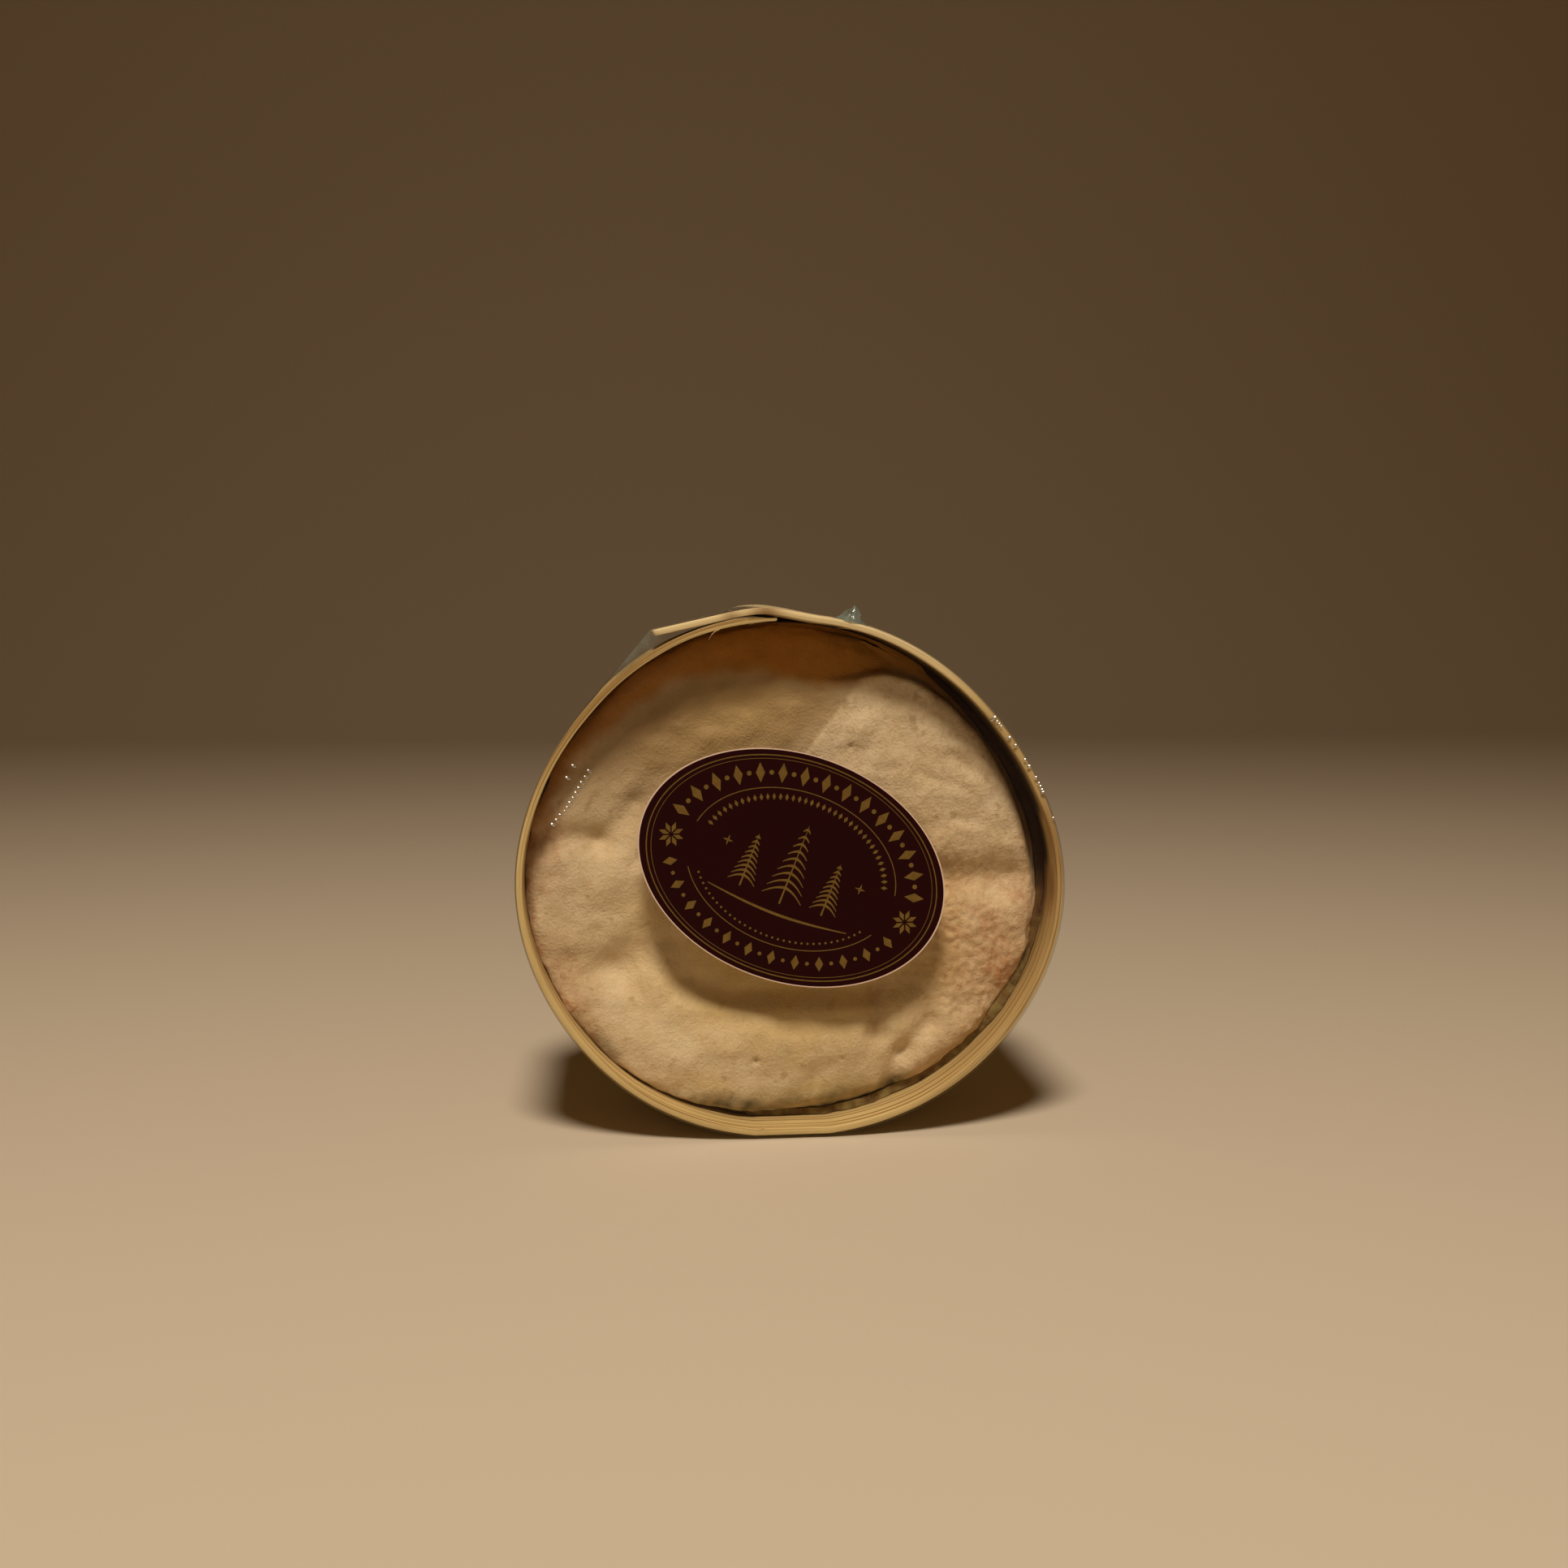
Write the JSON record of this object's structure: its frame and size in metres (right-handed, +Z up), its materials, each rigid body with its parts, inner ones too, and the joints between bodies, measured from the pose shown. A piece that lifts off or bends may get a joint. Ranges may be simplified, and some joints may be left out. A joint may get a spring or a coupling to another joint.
{
  "type": "boxed soft cheese wheel",
  "caption": "Soft washed-rind cheese wheel in a round bent-wood box, wrapped in clear film with a plain oval label, standing on its rim.",
  "frame": {"origin": "middle of the wheel's footprint, on the surface that it stands on", "axes": "+Z up, -Y out of the box's open face along the wheel's axis, +X to the right seen from the front"},
  "size_m": [0.1264, 0.0432, 0.1228],
  "materials": {
    "spruce": "bare peeled strip, satin",
    "bark": "damp spruce bark strap, rough",
    "rind": "soft washed rind, folded, satin",
    "film": "clear stretched film, glossy",
    "label_paper": null,
    "staple_wire": "dull flat wire"
  },
  "bodies": {
    "root": {"box_hoop": "spruce", "box_base": "spruce", "bark_strap": "bark", "cheese": "rind", "film": "film", "label": "label_paper", "staple_front": "staple_wire", "staple_back": "staple_wire"}
  },
  "joints": []
}
